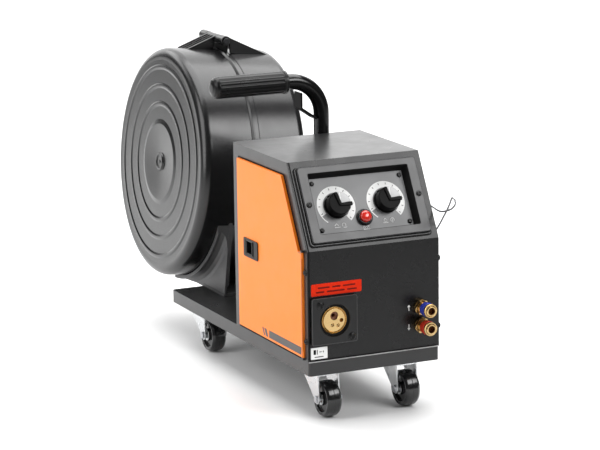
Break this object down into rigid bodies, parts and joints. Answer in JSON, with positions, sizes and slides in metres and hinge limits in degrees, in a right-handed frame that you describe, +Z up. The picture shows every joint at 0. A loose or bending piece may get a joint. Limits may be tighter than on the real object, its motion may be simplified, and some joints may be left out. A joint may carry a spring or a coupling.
{
  "type": "wire feeder",
  "caption": "Wheeled welding wire feeder: sheet-metal housing with sloping dial panel, side door and carrying handle, and a hinged spool drum behind it on a caster tray.",
  "frame": {"origin": "middle of the bounding box's footprint, on the floor under the casters", "axes": "+Z up, +Y towards the spool drum at the back, the couplings and the sloping dial panel face -Y, the side door is on -X"},
  "size_m": [0.2288, 0.7698, 0.4494],
  "materials": {
    "dark_paint": "powder coat, fine texture, satin",
    "panel_paint": "powder coat, fine texture, satin black",
    "orange_paint": "powder coat, smooth satin orange",
    "zinc": "bright zinc plate",
    "black_plastic": "moulded black plastic, satin to gloss",
    "grey_plastic": "moulded grey plastic, fine grain",
    "red_plastic": "glossy red cap",
    "brass": "turned brass",
    "steel": "machined steel",
    "aluminium": "die-cast aluminium",
    "rubber": "ribbed black rubber",
    "tube_paint": "gloss black enamel",
    "wire": "copper-coated welding wire, layer wound"
  },
  "bodies": {
    "feeder": {"base_tray": "dark_paint", "housing_cover": "dark_paint", "rear_panel": "dark_paint", "gear_motor": "dark_paint", "front_panel": "panel_paint", "partition_plate": "zinc", "front_left_caster_plate": "zinc", "front_right_caster_plate": "zinc", "rear_left_caster_plate": "zinc", "rear_right_caster_plate": "zinc", "test_button_bezel": "black_plastic", "torch_flange": "black_plastic", "supply_socket": "black_plastic", "handle_strap": "black_plastic", "spool_case": "black_plastic", "spool_case_foot": "black_plastic", "control_bezel": "grey_plastic", "control_plate": "grey_plastic", "spool_hub": "grey_plastic", "torch_socket": "brass", "supply_coupler_body": "brass", "return_coupler_body": "brass", "wire_inlet_guide": "brass", "cover_hinge_pin": "steel", "torch_hook": "steel", "drive_plate": "aluminium", "handle_grip": "rubber", "wire_conduit": "rubber", "handle_tube": "tube_paint"},
    "front_left_swivel": {"front_left_caster_fork": "zinc", "front_left_caster_axle": "zinc"},
    "front_left_roller": {"front_left_caster_wheel": "black_plastic"},
    "front_right_swivel": {"front_right_caster_fork": "zinc", "front_right_caster_axle": "zinc"},
    "front_right_roller": {"front_right_caster_wheel": "black_plastic"},
    "rear_left_swivel": {"rear_left_caster_fork": "zinc", "rear_left_caster_axle": "zinc"},
    "rear_left_roller": {"rear_left_caster_wheel": "black_plastic"},
    "rear_right_swivel": {"rear_right_caster_fork": "zinc", "rear_right_caster_axle": "zinc"},
    "rear_right_roller": {"rear_right_caster_wheel": "black_plastic"},
    "door": {"side_door": "orange_paint", "latch_frame": "grey_plastic"},
    "latch": {"latch_slider": "grey_plastic"},
    "voltage_dial": {"voltage_knob": "black_plastic"},
    "speed_dial": {"speed_knob": "black_plastic"},
    "button": {"test_button": "red_plastic"},
    "supply_release": {"supply_coupler_sleeve": "brass"},
    "return_release": {"return_coupler_sleeve": "brass"},
    "drum_cover": {"spool_cover": "black_plastic"},
    "spool": {"wire_spool": "black_plastic", "wire_winding": "wire"},
    "retainer": {"spool_nut": "black_plastic"},
    "drive": {"drive_gear": "steel"},
    "feed_front": {"feed_roll_front": "steel"},
    "feed_rear": {"feed_roll_rear": "steel"},
    "lever": {"tension_lever": "black_plastic"},
    "arm": {"pressure_arm": "aluminium"},
    "press_front": {"pressure_roll_front": "steel"},
    "press_rear": {"pressure_roll_rear": "steel"}
  },
  "joints": [
    {"name": "front_left_swivel_turn", "type": "hinge", "parent": "feeder", "child": "front_left_swivel", "pos_m": [-0.0494, -0.29891, 0.06], "axis": [0, 0, 1], "continuous": true},
    {"name": "front_left_wheel_spin", "type": "hinge", "parent": "front_left_swivel", "child": "front_left_roller", "pos_m": [-0.0494, -0.31791, 0.025], "axis": [1, 0, 0], "continuous": true},
    {"name": "front_right_swivel_turn", "type": "hinge", "parent": "feeder", "child": "front_right_swivel", "pos_m": [0.0686, -0.29891, 0.06], "axis": [0, 0, 1], "continuous": true},
    {"name": "front_right_wheel_spin", "type": "hinge", "parent": "front_right_swivel", "child": "front_right_roller", "pos_m": [0.0686, -0.31791, 0.025], "axis": [1, 0, 0], "continuous": true},
    {"name": "rear_left_swivel_turn", "type": "hinge", "parent": "feeder", "child": "rear_left_swivel", "pos_m": [-0.0494, 0.09309, 0.06], "axis": [0, 0, 1], "continuous": true},
    {"name": "rear_left_wheel_spin", "type": "hinge", "parent": "rear_left_swivel", "child": "rear_left_roller", "pos_m": [-0.0494, 0.07409, 0.025], "axis": [1, 0, 0], "continuous": true},
    {"name": "rear_right_swivel_turn", "type": "hinge", "parent": "feeder", "child": "rear_right_swivel", "pos_m": [0.0686, 0.09309, 0.06], "axis": [0, 0, 1], "continuous": true},
    {"name": "rear_right_wheel_spin", "type": "hinge", "parent": "rear_right_swivel", "child": "rear_right_roller", "pos_m": [0.0686, 0.07409, 0.025], "axis": [1, 0, 0], "continuous": true},
    {"name": "door_swing", "type": "hinge", "parent": "feeder", "child": "door", "pos_m": [-0.091, -0.33271, 0.16], "axis": [0, 0, 1], "range_deg": [0, 110]},
    {"name": "latch_slide", "type": "slide", "parent": "door", "child": "latch", "axis": [0, -1, 0], "range_m": [0, 0.006], "stiffness_N_per_m": 300},
    {"name": "voltage_dial_turn", "type": "hinge", "parent": "feeder", "child": "voltage_dial", "pos_m": [-0.0274, -0.31346, 0.28899], "axis": [0, -0.8779, 0.4789], "range_deg": [-135, 135]},
    {"name": "speed_dial_turn", "type": "hinge", "parent": "feeder", "child": "speed_dial", "pos_m": [0.0466, -0.31346, 0.28899], "axis": [0, -0.8779, 0.4789], "range_deg": [-135, 135]},
    {"name": "test_button_press", "type": "slide", "parent": "feeder", "child": "button", "axis": [0, 0.8779, -0.4789], "range_m": [0, 0.003], "stiffness_N_per_m": 500},
    {"name": "supply_sleeve_slide", "type": "slide", "parent": "feeder", "child": "supply_release", "axis": [0, 1, 0], "range_m": [0, 0.004], "stiffness_N_per_m": 400},
    {"name": "return_sleeve_slide", "type": "slide", "parent": "feeder", "child": "return_release", "axis": [0, 1, 0], "range_m": [0, 0.004], "stiffness_N_per_m": 400},
    {"name": "cover_swing", "type": "hinge", "parent": "feeder", "child": "drum_cover", "pos_m": [0.02586, 0.21209, 0.44179], "axis": [0, 1, 0], "range_deg": [0, 100]},
    {"name": "spool_spin", "type": "hinge", "parent": "feeder", "child": "spool", "pos_m": [0.0096, 0.21209, 0.256], "axis": [0.9962, 0, -0.0872], "continuous": true},
    {"name": "retainer_turn", "type": "hinge", "parent": "feeder", "child": "retainer", "pos_m": [-0.05017, 0.21209, 0.26123], "axis": [0.9962, 0, -0.0872], "continuous": true},
    {"name": "drive_spin", "type": "hinge", "parent": "feeder", "child": "drive", "pos_m": [-0.0404, -0.21391, 0.10982], "axis": [1, 0, 0], "continuous": true},
    {"name": "feed_front_spin", "type": "hinge", "parent": "feeder", "child": "feed_front", "pos_m": [-0.0507, -0.23891, 0.1264], "axis": [1, 0, 0], "continuous": true},
    {"name": "feed_rear_spin", "type": "hinge", "parent": "feeder", "child": "feed_rear", "pos_m": [-0.0507, -0.18891, 0.1264], "axis": [1, 0, 0], "continuous": true},
    {"name": "lever_tilt", "type": "hinge", "parent": "feeder", "child": "lever", "pos_m": [-0.0714, -0.27991, 0.116], "axis": [1, 0, 0], "range_deg": [0, 35]},
    {"name": "arm_lift", "type": "hinge", "parent": "feeder", "child": "arm", "pos_m": [-0.0414, -0.15891, 0.162], "axis": [-1, 0, 0], "range_deg": [0, 14.5]},
    {"name": "press_front_spin", "type": "hinge", "parent": "arm", "child": "press_front", "pos_m": [-0.0507, -0.23891, 0.1598], "axis": [1, 0, 0], "continuous": true},
    {"name": "press_rear_spin", "type": "hinge", "parent": "arm", "child": "press_rear", "pos_m": [-0.0507, -0.18891, 0.1598], "axis": [1, 0, 0], "continuous": true}
  ],
  "couplings": [
    {"joint": "feed_front_spin", "follows": "drive_spin", "ratio": -0.71429},
    {"joint": "feed_rear_spin", "follows": "drive_spin", "ratio": -0.71429},
    {"joint": "arm_lift", "follows": "lever_tilt", "ratio": 0.4}
  ]
}
